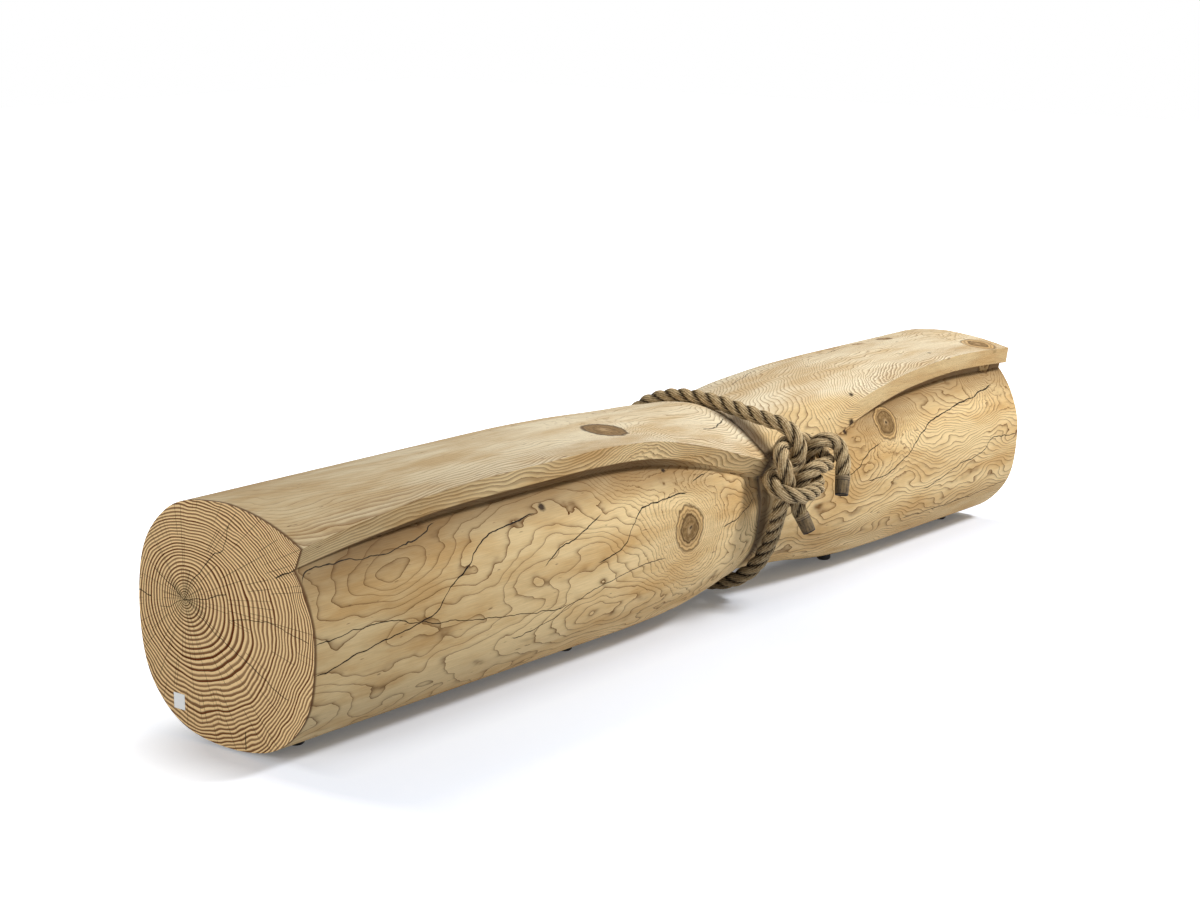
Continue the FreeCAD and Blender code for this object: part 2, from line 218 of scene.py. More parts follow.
# %% [markdown]
# ## The rope's line
#
# The rope is one piece of three-strand jute, 30 mm thick. It starts in the upper sleeve, goes
# through the knot, over the crest, behind and under the waist, and back through the knot to the
# lower sleeve. Its line is a NURBS spline on the same route as the CAD tube, and everything on
# the rope follows points read from that spline.

# %% Draw the rope's line
ROPE_WIDTH = 0.030
STEPS_A_PLACE = 18
ROPE_ROUTE = (
    (0.291, -0.292, 0.269),
    (0.301, -0.287, 0.296),
    (0.306, -0.275, 0.323),
    (0.287, -0.265, 0.345),
    (0.258, -0.251, 0.341),
    (0.250, -0.228, 0.315),
    (0.268, -0.228, 0.278),
    (0.253, -0.261, 0.250),
    (0.199, -0.282, 0.253),
    (0.143, -0.296, 0.252),
    (0.098, -0.276, 0.265),
    (0.107, -0.234, 0.284),
    (0.153, -0.224, 0.290),
    (0.196, -0.256, 0.309),
    (0.184, -0.247, 0.380),
    (0.180, -0.150, 0.394),
    (0.180, -0.034, 0.414),
    (0.180, 0.078, 0.411),
    (0.180, 0.170, 0.367),
    (0.180, 0.213, 0.262),
    (0.180, 0.205, 0.147),
    (0.180, 0.150, 0.062),
    (0.180, 0.050, 0.023),
    (0.180, -0.064, 0.024),
    (0.180, -0.144, 0.061),
    (0.178, -0.193, 0.130),
    (0.132, -0.249, 0.229),
    (0.146, -0.257, 0.264),
    (0.124, -0.271, 0.295),
    (0.127, -0.251, 0.334),
    (0.169, -0.224, 0.342),
    (0.220, -0.209, 0.345),
    (0.270, -0.200, 0.341),
    (0.308, -0.217, 0.315),
    (0.297, -0.255, 0.291),
    (0.253, -0.269, 0.294),
    (0.210, -0.275, 0.297),
    (0.183, -0.263, 0.276),
    (0.180, -0.246, 0.251),
    (0.189, -0.247, 0.225),
    (0.195, -0.257, 0.201),
)


def smooth_line(name, route, steps):
    """Points along the NURBS spline that has this route as its control points."""
    curve = bpy.data.curves.new(name, "CURVE")
    curve.dimensions = "3D"
    spline = curve.splines.new("NURBS")
    spline.points.add(len(route) - 1)
    for control, place in zip(spline.points, route):
        control.co = (*place, 1)
    spline.order_u = 3
    spline.use_endpoint_u = True
    spline.resolution_u = steps
    carrier = bpy.data.objects.new(name, curve)
    line = bpy.data.meshes.new_from_object(carrier)
    places = [v.co.copy() for v in line.vertices]
    bpy.data.objects.remove(carrier)
    bpy.data.curves.remove(curve)
    bpy.data.meshes.remove(line)
    return places


rope_line = smooth_line("rope line", ROPE_ROUTE, STEPS_A_PLACE)
rope_length = sum((b - a).length for a, b in zip(rope_line, rope_line[1:]))
print("rope line:", len(rope_line), "points,", round(rope_length, 3), "m")

# %% [markdown]
# ## The strands
#
# Three strands are laid right-handed, and each goes once round in three and a half rope widths.
# Pulled tight they press each other flat, so a strand is an oval that is widest where it meets
# the next one, and the grooves between them stay shallow. Over the strands' backs the rope
# measures 33 mm. The yarns in a strand are twisted the other way, which leaves them lying along
# the rope. So a strand is a sheet with ridges for its yarns, rolled up row by row, and its centre
# circles the line as it goes.

# %% Lay the strands
LAY = 3.5 * ROPE_WIDTH
ROPE_RADIUS = 0.0165
STRAND_OFFSET = 0.44 * ROPE_RADIUS
STRAND_DEEP = 0.56 * ROPE_RADIUS
STRAND_WIDE = 0.63 * ROPE_RADIUS
SEGMENTS = 36
YARNS = 12
YARN_DEPTH = 0.09
YARN_SHADE = 0.17
WELD = 0.01 * MM


def steady_frames(line):
    """The direction at each point with two side vectors that don't spin round it."""
    frames = []
    side = Vector((0, 0, 1))
    for i in range(len(line)):
        ahead = (line[min(i + 1, len(line) - 1)] - line[max(i - 1, 0)]).normalized()
        side = (side - ahead * side.dot(ahead)).normalized()
        frames.append((ahead, side, ahead.cross(side)))
    return frames


def lay_strand(form, line, frames, turn):
    """Rolls a sheet round a strand's centre, and notes for each vertex where it is on the fibres."""
    fibre = form.verts.layers.float_vector["fibre"]
    hollow = form.verts.layers.float["hollow"]
    sheet = bmesh.ops.create_grid(form, x_segments=SEGMENTS, y_segments=len(line) - 1)["verts"]
    rows = [sheet[i:i + SEGMENTS + 1] for i in range(0, len(sheet), SEGMENTS + 1)]
    travelled = 0
    for i, (row, place, (ahead, side, across)) in enumerate(zip(rows, line, frames)):
        travelled += (place - line[i - 1]).length if i else 0
        angle = turn + math.tau * travelled / LAY
        centre = place + STRAND_OFFSET * (math.cos(angle) * side + math.sin(angle) * across)
        for step, v in enumerate(row):
            around = math.tau * step / SEGMENTS
            deep = math.cos(around - angle) / STRAND_DEEP
            wide = math.sin(around - angle) / STRAND_WIDE
            ridge = abs(math.sin(YARNS * around / 2 + turn))
            radius = (1 - YARN_DEPTH * (1 - ridge)) / math.hypot(deep, wide)
            v.co = centre + radius * (math.cos(around) * side + math.sin(around) * across)
            v[fibre] = (radius * math.cos(around) + turn, radius * math.sin(around), travelled)
            # painted shade: the hollow value is lowered between the yarns, so the grooves are drawn
            # darker
            v[hollow] = (v.co - place).length / ROPE_RADIUS - YARN_SHADE * (1 - ridge)
    bmesh.ops.remove_doubles(form, verts=sheet, dist=WELD)


def piece_from(form, name, finish):
    """Makes a finished bmesh a smooth piece of the bench."""
    bmesh.ops.recalc_face_normals(form, faces=form.faces)
    mesh = bpy.data.meshes.new(name)
    form.to_mesh(mesh)
    form.free()
    for face in mesh.polygons:
        face.use_smooth = True
    mesh.materials.append(finish)
    made = bpy.data.objects.new(name, mesh)
    bpy.context.collection.objects.link(made)
    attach(made, "root")
    print(name, "has", len(mesh.polygons), "faces")
    return made


print("strands", round(2 * STRAND_WIDE / MM, 1), "mm wide, lay", round(LAY / MM), "mm")

# %% [markdown]
# ## Jute
#
# Jute is a pale brown bast fibre, spun coarse. It has no gloss, a lengthwise streak, and painted
# shade in every groove. A real fibre is a tenth of a millimetre wide, too fine to show, so its
# streak is drawn 1.4 mm wide and stretched along the rope. The mesh's own "hollow" value darkens
# whatever lies near the heart of the rope, as painted shade, and the rope is painted darker
# towards the floor, as painted shade.

# %% Colour the jute
jute, tree, surface = finish_named("spun jute")
fibre_place = shade(tree, "Attribute", attribute_name="fibre", out=1)
hollow_value = shade(tree, "Attribute", attribute_name="hollow", out=2)
FIBRE_WIDTH = 1.4 * MM
FIBRE_LENGTH = 22 * MM
BLOTCH = 4.55 * MM
FIBRE_RELIEF = 0.4 * MM
stretch = (1 / FIBRE_WIDTH, 1 / FIBRE_WIDTH, 1 / FIBRE_LENGTH)
along_fibres = shade(tree, "Mapping", fibre_place, None, None, stretch)
streaks = shade(tree, "TexNoise", along_fibres, None, 1.0, 3.0, 0.6)
place = shade(tree, "TexCoord", out=3)
blotches = shade(tree, "TexNoise", place, None, 1 / BLOTCH, 3.0, 0.7)
tone = shade(tree, "Math", blotches, 0.7, streaks, do="MULTIPLY_ADD")
tone = shade(tree, "MapRange", tone, 0.64, 1.04, 0.0, 1.0)
straw = shade(tree, "MixRGB", tone, colour("#86663C"), colour("#F4DAAA"))
# painted shade: the grooves and the rope's heart are mixed towards near-black
out_of_painted_shade = shade(tree, "MapRange", hollow_value, 0.64, 0.93, 0.0, 1.0)
shaded_straw = shade(tree, "MixRGB", out_of_painted_shade, colour("#231506"), straw)
height = shade(tree, "SeparateXYZ", place, out=2)
# painted shade: the rope's colour grows darker towards the floor
painted_low_shade = shade(tree, "MapRange", height, 0.15, 0.37, 0.58, 1.0)
shaded_straw = shade(tree, "VectorMath", shaded_straw, None, None, painted_low_shade, do="SCALE")
relief = shade(tree, "Bump", 0.6, FIBRE_RELIEF, None, streaks)
coat(tree, surface, shaded_straw, {"Roughness": 0.92, "Specular IOR Level": 0.2}, relief)
print("jute fibres drawn", FIBRE_WIDTH / MM, "mm wide")

# %% [markdown]
# ## The rope with its stray fibres
#
# Loose fibres stand off spun jute all over and give it a soft outline. Each is drawn as a pointed
# stem that leaves the rope at a low angle, several times thicker than the real one so that it
# shows. The stems are made first and the three strands after them.

# %% Make the rope
HAIRS = 1500
HAIR_WIDTH = 0.34 * MM
HAIR_TIP = 0.02 * MM
HAIR_LENGTHS_MM = (4, 9)
HAIR_LIFTS = (0.10, 0.42)
BARE_END = 4
ROOT_SHARE = 0.98
STEM_SHARE = 0.4


def stray_hair(form, draw, line, frames):
    """One loose fibre: a thin pointed stem that leaves the rope at a low angle."""
    i = draw.randrange(BARE_END, len(line) - BARE_END)
    ahead, side, across = frames[i]
    around = draw.uniform(0, math.tau)
    outwards = math.cos(around) * side + math.sin(around) * across
    round_it = ahead.cross(outwards)
    length = draw.uniform(*HAIR_LENGTHS_MM) * MM
    lift = draw.uniform(*HAIR_LIFTS)
    turned = draw.uniform(-1.0, 1.0) + math.pi * draw.randrange(2)
    heading = math.cos(turned) * ahead + math.sin(turned) * round_it
    heading = (heading + lift * outwards).normalized()
    middle = line[i] + ROOT_SHARE * ROPE_RADIUS * outwards + STEM_SHARE * length * heading
    place = Matrix.Translation(middle) @ heading.to_track_quat("Z", "X").to_matrix().to_4x4()
    stem = bmesh.ops.create_cone(form, segments=3, radius1=HAIR_WIDTH / 2, radius2=HAIR_TIP,
                                 depth=length, matrix=place)["verts"]
    for v in stem:
        v[form.verts.layers.float["hollow"]] = 1


rope_frames = steady_frames(rope_line)
form = bmesh.new()
form.verts.layers.float_vector.new("fibre")
form.verts.layers.float.new("hollow")
draw = random.Random(7)
for _ in range(HAIRS):
    stray_hair(form, draw, rope_line, rope_frames)
for turn in (0, math.tau / 3, 2 * math.tau / 3):
    lay_strand(form, rope_line, rope_frames, turn)
bmesh.ops.holes_fill(form, edges=form.edges, sides=0)
rope = piece_from(form, "laid_rope", jute)
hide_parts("rope")

# %% [markdown]
# ## The end sleeves
#
# Each rope end is held by a dark shrunk sleeve, 40 mm long. A profile is turned round the rope's
# direction: a rounded mouth, two fine crimped lines, a long slightly tapering wall, and an open
# end that is painted black as painted shade. Shrunk plastic is brown-black and matt. It is rubbed
# pale at its mouth, scuffed in patches, creased along its length, and painted dark in the crimps
# as painted shade.

# %% Turn the sleeves
SLEEVE_STEPS = 48
SLEEVE_PROFILE = (
    # radius and distance from the mouth, in metres
    (0.0000, 0.0002),
    (0.0148, 0.0002),
    (0.0157, 0.0010),
    (0.0158, 0.0040),
    (0.0151, 0.0050),
    (0.0156, 0.0060),
    (0.0155, 0.0082),
    (0.0149, 0.0092),
    (0.0154, 0.0102),
    (0.0150, 0.0200),
    (0.0142, 0.0330),
    (0.0135, 0.0390),
    (0.0130, 0.0398),
    (0.0117, 0.0396),
    (0.0116, 0.0322),
    (0.0000, 0.0321),
)


def turn_sleeve(name, node, end, before, finish):
    """Spins the sleeve's profile round the rope's last direction."""
    outwards = (Vector(end) - Vector(before)).normalized()
    side = outwards.orthogonal().normalized()
    form = bmesh.new()
    along = form.verts.layers.float.new("along")
    around = form.verts.layers.float_vector.new("around")
    corners = []
    for radius, distance in SLEEVE_PROFILE:
        corner = form.verts.new(Vector(end) + outwards * distance + side * radius)
        corner[along] = distance
        corners.append(corner)
    edges = [form.edges.new(pair) for pair in zip(corners, corners[1:])]
    bmesh.ops.spin(form, geom=corners + edges, cent=Vector(end), axis=outwards, angle=math.tau,
                   steps=SLEEVE_STEPS, use_merge=True)
    bmesh.ops.remove_doubles(form, verts=form.verts, dist=WELD)
    across = outwards.cross(side)
    for v in form.verts:
        away = v.co - Vector(end)
        v[around] = (away.dot(side), away.dot(across), away.dot(outwards))
    made = piece_from(form, name, finish)
    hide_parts(node)
    return made


SCUFF = 4.76 * MM
SCUFF_RELIEF = 0.3 * MM
CREASE_WIDTH = 5.88 * MM
CREASE_LENGTH = 38.5 * MM
CRIMPS = (5.0 * MM, 9.2 * MM)
rubber, tree, surface = finish_named("weathered shrink sleeve")
distance = shade(tree, "Attribute", attribute_name="along", out=2)
place = shade(tree, "TexCoord", out=3)
scuff = shade(tree, "TexNoise", place, None, 1 / SCUFF, 4.0, 0.65)
creases = shade(tree, "VectorMath", shade(tree, "Attribute", attribute_name="around", out=1),
                (1 / CREASE_WIDTH, 1 / CREASE_WIDTH, 1 / CREASE_LENGTH), do="MULTIPLY")
creases = shade(tree, "TexNoise", creases, None, 1.0, 3.0, 0.6)
tone = shade(tree, "Math", scuff, 0.6, creases, do="MULTIPLY_ADD")
tone = shade(tree, "MapRange", tone, 0.62, 1.0, 0.0, 1.0)
skin = shade(tree, "MixRGB", tone, colour("#33281A"), colour("#7D6846"))
mouth = shade(tree, "MapRange", distance, 6.0 * MM, 9.5 * MM, 0.45, 0.0)
skin = shade(tree, "MixRGB", mouth, skin, colour("#A48E6C"))
# painted shade: each crimp is drawn as a dark line
for crimp in CRIMPS:
    line = shade(tree, "Math", distance, crimp, do="SUBTRACT")
    line = shade(tree, "Math", line, do="ABSOLUTE")
    line = shade(tree, "MapRange", line, 0.4 * MM, 1.3 * MM, 0.8, 0.0)
    skin = shade(tree, "MixRGB", line, skin, colour("#2A1F13"))
# painted shade: the last millimetres at the open end are drawn near-black
painted_end_shade = shade(tree, "MapRange", distance, 36.5 * MM, 38.5 * MM, 0.0, 1.0)
skin = shade(tree, "MixRGB", painted_end_shade, skin, colour("#0B0A0A"))
relief = shade(tree, "Bump", 0.5, SCUFF_RELIEF, None, scuff)
coat(tree, surface, skin, {"Roughness": 0.62, "Specular IOR Level": 0.35}, relief)

upper_sleeve = turn_sleeve("upper_end_sleeve", "upper_sleeve", ROPE_ROUTE[0], ROPE_ROUTE[1], rubber)
lower_sleeve = turn_sleeve("lower_end_sleeve", "lower_sleeve", ROPE_ROUTE[-1], ROPE_ROUTE[-2],
                           rubber)

# %% [markdown]
# ## The wood: where the rings are
#
# Growth rings are shells round the pith. On the end face they show as circles, and where the
# carved surface runs almost along a shell, one ring spreads into the wandering outlines that
# look like a map's contours. So the whole pattern is one field, the distance from the pith, cut
# by the surface, and nothing is painted on. The pith lies off centre, so the centre of a shell
# moves from the pith to the trunk's centre as the shell grows, and the quadratic formula gives
# the radius of the shell that passes through a place.

# %% Measure the trunk's rings
HALF_LENGTH = round(cad_high[0], 3)
TRUNK_CENTRE = Vector((0, 0.050, 0.235))
PITH = Vector((0, 0.098, 0.250))
TRUNK_RADIUS = 0.267
SAWN_ACROSS = 0.8

cedar, tree, surface = finish_named("planed cedar")
place = shade(tree, "TexCoord", out=3)
spot = shade(tree, "SeparateXYZ", place).node.outputs
normal = shade(tree, "SeparateXYZ", shade(tree, "NewGeometry", out=1)).node.outputs
end_on = shade(tree, "Math", normal["X"], do="ABSOLUTE")
end_grain = shade(tree, "Math", end_on, SAWN_ACROSS, do="GREATER_THAN")
faces_up = shade(tree, "MapRange", normal["Z"], 0.72, 0.84, 0.0, 1.0)
faces_front = shade(tree, "MapRange", normal["Y"], -0.25, -0.15, 1.0, 0.0)
side_grain = shade(tree, "Math", 1.0, end_grain, do="SUBTRACT")

offset = PITH - TRUNK_CENTRE
room = TRUNK_RADIUS ** 2 - offset.length_squared
cross = shade(tree, "VectorMath", place, (0, 1, 1), do="MULTIPLY")
from_pith = shade(tree, "VectorMath", cross, PITH, do="SUBTRACT")
outwards = shade(tree, "VectorMath", from_pith, offset, do="DOT_PRODUCT", out=1)
spread = shade(tree, "VectorMath", from_pith, from_pith, do="DOT_PRODUCT", out=1)
under_root = shade(tree, "Math", outwards, outwards, do="MULTIPLY")
under_root = shade(tree, "Math", spread, room, under_root, do="MULTIPLY_ADD")
root = shade(tree, "Math", under_root, do="SQRT")
shell = shade(tree, "Math", outwards, root, do="ADD")
shell = shade(tree, "Math", shell, TRUNK_RADIUS / room, do="MULTIPLY")
true_shell = shell
print("pith lies", round(offset.length * 1000), "mm off the trunk's centre")

# %% [markdown]
# ## The wood: how the rings wander
#
# Three sizes of noise bend the shells, and each is about twice as long along the trunk as across
# it. Near the pith the young tree grew evenly, so the bending fades out there, and past the
# middle of the near half it grows. At the near end the shells flare above the trunk's side, and
# one low swelling spreads a ring there into a wide oval. Right of the waist the shells lean, so
# the carving cuts them more steeply and their lines lie closer.

# %% Bend the rings
WAVES = (
    # length along the grain, length across it and height, in metres, then the noise's detail
    (0.290, 0.140, 0.0210, 1.0),
    (0.100, 0.048, 0.0066, 1.0),
    (0.026, 0.013, 0.0006, 1.0),
)
SWELLINGS = (
    # centre, half length, half height and height of a bump in the shells, in metres
    ((-0.950, 0, 0.298), 0.130, 0.046, 0.024),
)
FLARE_LENGTH = 0.11
FLARE_HEIGHT = 0.030
LEAN_LEVEL = 0.20


def stretched_noise(along, across, detail, roughness):
    """Noise with its sizes along the trunk and across it, in metres."""
    shrunk = shade(tree, "Mapping", place, None, None, (1 / along, 1 / across, 1 / across))
    return shade(tree, "TexNoise", shrunk, None, 1.0, detail, roughness)


evenness = shade(tree, "MapRange", true_shell, 0.01, 0.17, 0.1, 1.0)
busier = shade(tree, "MapRange", spot["X"], -0.55, 0.10, 1.0, 1.35)
liveliness = shade(tree, "Math", evenness, busier, do="MULTIPLY")
for along, across, high, detail in WAVES:
    wave = shade(tree, "Math", stretched_noise(along, across, detail, 0.5), 0.5, do="SUBTRACT")
    wave = shade(tree, "Math", wave, liveliness, do="MULTIPLY")
    shell = shade(tree, "Math", wave, 2 * high, shell, do="MULTIPLY_ADD")

from_end = shade(tree, "Math", spot["X"], HALF_LENGTH, do="ADD")
flare = shade(tree, "Math", from_end, -1 / FLARE_LENGTH, do="MULTIPLY")
flare = shade(tree, "Math", math.e, flare, do="POWER")
above_side = shade(tree, "MapRange", spot["Z"], 0.32, 0.39, 0.0, FLARE_HEIGHT)
shell = shade(tree, "Math", flare, above_side, shell, do="MULTIPLY_ADD")
for centre, half_length, half_height, height in SWELLINGS:
    away = shade(tree, "VectorMath", place, centre, do="SUBTRACT")
    away = shade(tree, "VectorMath", away, (1 / half_length, 0, 1 / half_height), do="MULTIPLY")
    slope = shade(tree, "VectorMath", away, away, do="DOT_PRODUCT", out=1)
    hill = shade(tree, "Math", 1 / math.e, slope, do="POWER")
    shell = shade(tree, "Math", hill, -height, shell, do="MULTIPLY_ADD")
lean = shade(tree, "MapRange", spot["X"], 0.10, 0.60, 0.0, 0.46)
height_above = shade(tree, "Math", spot["Z"], LEAN_LEVEL, do="SUBTRACT")
shell = shade(tree, "Math", lean, height_above, shell, do="MULTIPLY_ADD")
print("waves:", len(WAVES), "and swellings:", len(SWELLINGS))

# %% [markdown]
# ## The wood: knots
#
# A knot is the root of a branch. The trunk's rings bulge outwards round it, so its neighbourhood
# is a small hill in the ring field. The knot itself has a dark core of fine rings, a collar of
# wider ones, and a thin dark rim round each. Soft noise makes the rims ragged. A few pin knots
# are no more than black dots.

# %% Grow the knots
KNOTS = (
    # centre on the surface, direction of the branch, radius, and the dark core's share of it
    ((-0.236, -0.093, 0.422), (0.05, -0.09, 0.99), 0.044, 0.92),
    ((-0.123, -0.216, 0.227), (0.02, -1.00, 0.02), 0.044, 0.62),
    ((0.606, -0.190, 0.318), (-0.03, -0.86, 0.50), 0.038, 0.66),
    ((0.948, 0.039, 0.428), (0.01, 0.09, 1.00), 0.018, 0.90),
    ((1.065, -0.142, 0.420), (0.05, -0.16, 0.99), 0.040, 0.55),
    ((-0.140, 0.214, 0.270), (0.00, 1.00, 0.10), 0.040, 0.65),
    ((0.560, 0.208, 0.160), (0.00, 1.00, -0.10), 0.030, 0.70),
    ((-0.760, 0.205, 0.330), (0.00, 0.90, 0.40), 0.026, 0.80),
)
PINS = (
    # centre and radius
    ((-0.517, -0.178, 0.336), 0.0070),
    ((-0.149, -0.170, 0.339), 0.0045),
    ((-0.142, -0.214, 0.253), 0.0030),
    ((0.808, -0.095, 0.427), 0.0040),
    ((0.870, -0.132, 0.425), 0.0040),
    ((0.511, -0.162, 0.389), 0.0050),
    ((0.480, -0.185, 0.335), 0.0080),
    ((0.458, -0.182, 0.321), 0.0060),
    ((-0.121, -0.217, 0.229), 0.0040),
    ((0.607, -0.193, 0.319), 0.0035),
    ((-0.232, -0.096, 0.422), 0.0035),
)
DEPTH_LEFT_OUT = 0.6
RAGGED_SIZE = 18.18 * MM
RAGGED_HEIGHT = 0.015
HILL_WIDTH = 2.0
HILL_HEIGHT = 1.35
FAR_OFF = 50.0


def new_group(name, *inputs):
    """A node group that takes vectors and lastly a number, and gives one number."""
    group = bpy.data.node_groups.new(name, "ShaderNodeTree")
    for given in inputs:
        kind = "NodeSocketFloat" if given == inputs[-1] else "NodeSocketVector"
        group.interface.new_socket(name=given, in_out="INPUT", socket_type=kind)
    group.interface.new_socket(name="Answer", in_out="OUTPUT", socket_type="NodeSocketFloat")
    answer = group.nodes.new("NodeGroupOutput").inputs["Answer"]
    return group, group.nodes.new("NodeGroupInput").outputs, answer


def knot_reach():
    """A group that gives the distance from a knot's axis, counted in the knot's own radii."""
    group, given, answer = new_group("knot reach", "Place", "Centre", "Branch", "Radius")
    away = shade(group, "VectorMath", given["Place"], given["Centre"], do="SUBTRACT")
    depth = shade(group, "VectorMath", away, given["Branch"], do="DOT_PRODUCT", out=1)
    depth = shade(group, "Math", depth, DEPTH_LEFT_OUT, do="MULTIPLY")
    inwards = shade(group, "VectorMath", given["Branch"], None, None, depth, do="SCALE")
    flat = shade(group, "VectorMath", away, inwards, do="SUBTRACT")
    length = shade(group, "VectorMath", flat, do="LENGTH", out=1)
    reach = shade(group, "Math", length, given["Radius"], do="DIVIDE")
    group.links.new(reach, answer)
    return group


def shaken_place(size, height, roughness):
    """The place, shaken by noise of this size, up to half the height each way."""
    shake = shade(tree, "TexNoise", place, None, 1 / size, 2.0, roughness, out=1)
    shake = shade(tree, "VectorMath", shake, (0.5, 0.5, 0.5), do="SUBTRACT")
    shake = shade(tree, "VectorMath", shake, None, None, height, do="SCALE")
    return shade(tree, "VectorMath", place, shake, do="ADD")


reach_group = knot_reach()
ragged_place = shaken_place(RAGGED_SIZE, RAGGED_HEIGHT, 0.6)
nearest = FAR_OFF
nearest_core = FAR_OFF
for centre, branch, radius, share in KNOTS:
    reach = shade(tree, "Group", ragged_place, centre, Vector(branch).normalized(), radius,
                  node_tree=reach_group)
    nearest = shade(tree, "Math", nearest, reach, do="MINIMUM")
    core = shade(tree, "Math", reach, 1 / share, do="MULTIPLY")
    nearest_core = shade(tree, "Math", nearest_core, core, do="MINIMUM")
    slope = shade(tree, "Math", reach, 1 / HILL_WIDTH, do="MULTIPLY")
    slope = shade(tree, "Math", slope, 2.0, do="POWER")
    hill = shade(tree, "Math", 1 / math.e, slope, do="POWER")
    shell = shade(tree, "Math", hill, -HILL_HEIGHT * radius, shell, do="MULTIPLY_ADD")
nearest_pin = FAR_OFF
for centre, radius in PINS:
    gap = shade(tree, "VectorMath", ragged_place, centre, do="DISTANCE", out=1)
    gap = shade(tree, "Math", gap, 1 / radius, do="MULTIPLY")
    nearest_pin = shade(tree, "Math", nearest_pin, gap, do="MINIMUM")
print("knots:", len(KNOTS), "and pin knots:", len(PINS))

# %% [markdown]
# ## The wood: from shells to rings
#
# A cedar's first rings are close, the ones of its youth wide, and the last ones close again. The
# fraction of a ring that has passed shapes its colour: pale spring wood, then a ramp into a
# sharp dark edge of late wood. Every ring has its own strength, as every year had. From the near
# end to the middle the rings draw closer and their edges broaden. On the lip's outer face they
# are partly as broad as in the end grain, and on the seat's near half they are worn faint.

# %% Count the rings
FIRST_RINGS = 7
FIRST_REACH = 0.035
RINGS_A_METRE = 85
CLOSING_UP = 500
CROWDING = 125
BARK_SHELL = 0.255
EDGE_NEAR_END = 12.0
EDGE_PAST_MIDDLE = 5.5
core = shade(tree, "Math", shell, -1 / FIRST_REACH, do="MULTIPLY")
core = shade(tree, "Math", math.e, core, do="POWER")
ring = shade(tree, "Math", core, -FIRST_RINGS, FIRST_RINGS, do="MULTIPLY_ADD")
ring = shade(tree, "Math", shell, RINGS_A_METRE, ring, do="MULTIPLY_ADD")
cubed = shade(tree, "Math", shell, 3.0, do="POWER")
ring = shade(tree, "Math", cubed, CLOSING_UP, ring, do="MULTIPLY_ADD")
crowd = shade(tree, "MapRange", spot["X"], -1.1, 0.0, 0.0, CROWDING)
from_bark = shade(tree, "Math", shell, BARK_SHELL, do="SUBTRACT")
ring = shade(tree, "Math", from_bark, crowd, ring, do="MULTIPLY_ADD")
passed = shade(tree, "Math", ring, do="FRACT")
year = shade(tree, "Math", ring, do="FLOOR")
strength = shade(tree, "TexWhiteNoise", None, year, noise_dimensions="1D")
strength = shade(tree, "MapRange", strength, 0.0, 1.0, 0.72, 1.0)
ramp = shade(tree, "Math", passed, 2.2, do="POWER")
sharpness = shade(tree, "MapRange", spot["X"], -0.7, 0.1, EDGE_NEAR_END, EDGE_PAST_MIDDLE)
edge = shade(tree, "Math", passed, sharpness, do="POWER")
side_late = shade(tree, "Math", ramp, 0.07, edge, do="MULTIPLY_ADD")
end_late = shade(tree, "MapRange", passed, 0.34, 0.66, 0.0, 1.0, interpolation_type="SMOOTHSTEP")
from_centre = shade(tree, "VectorMath", cross, TRUNK_CENTRE, do="DISTANCE", out=1)
on_lip = shade(tree, "MapRange", from_centre, 0.254, 0.266, 0.0, 0.40)
above_hollow = shade(tree, "MapRange", spot["Z"], 0.30, 0.34, 0.0, 1.0)
on_lip = shade(tree, "Math", on_lip, above_hollow, do="MULTIPLY")
worn = shade(tree, "MapRange", spot["X"], -0.20, 0.25, 0.55, 0.0)
off_lip = shade(tree, "MapRange", spot["Y"], -0.13, -0.03, 0.0, 1.0)
for mask in (off_lip, faces_up):
    worn = shade(tree, "Math", worn, mask, do="MULTIPLY")
side_late = shade(tree, "MixRGB", worn, side_late, (0, 0, 0, 1))
late = shade(tree, "MixRGB", on_lip, side_late, end_late)
late = shade(tree, "MixRGB", end_grain, late, end_late)
late = shade(tree, "Math", late, strength, do="MULTIPLY")
rings_near_bark = RINGS_A_METRE + 3 * CLOSING_UP * TRUNK_RADIUS ** 2
print("ring width near the bark", round(1 / rings_near_bark / MM, 1), "mm")

# %% [markdown]
# ## The wood: drying cracks along the sides
#
# A whole log cracks as it dries, and each crack follows the fibres. Along the front a crack is
# a height for every place along the trunk, which one curve node can hold, and a second curve
# holds how wide it gapes. Cracks that don't overlap share a pair of curves. Noise splinters
# their lines. They are drawn in the colour alone, a little wider than they are, to show.

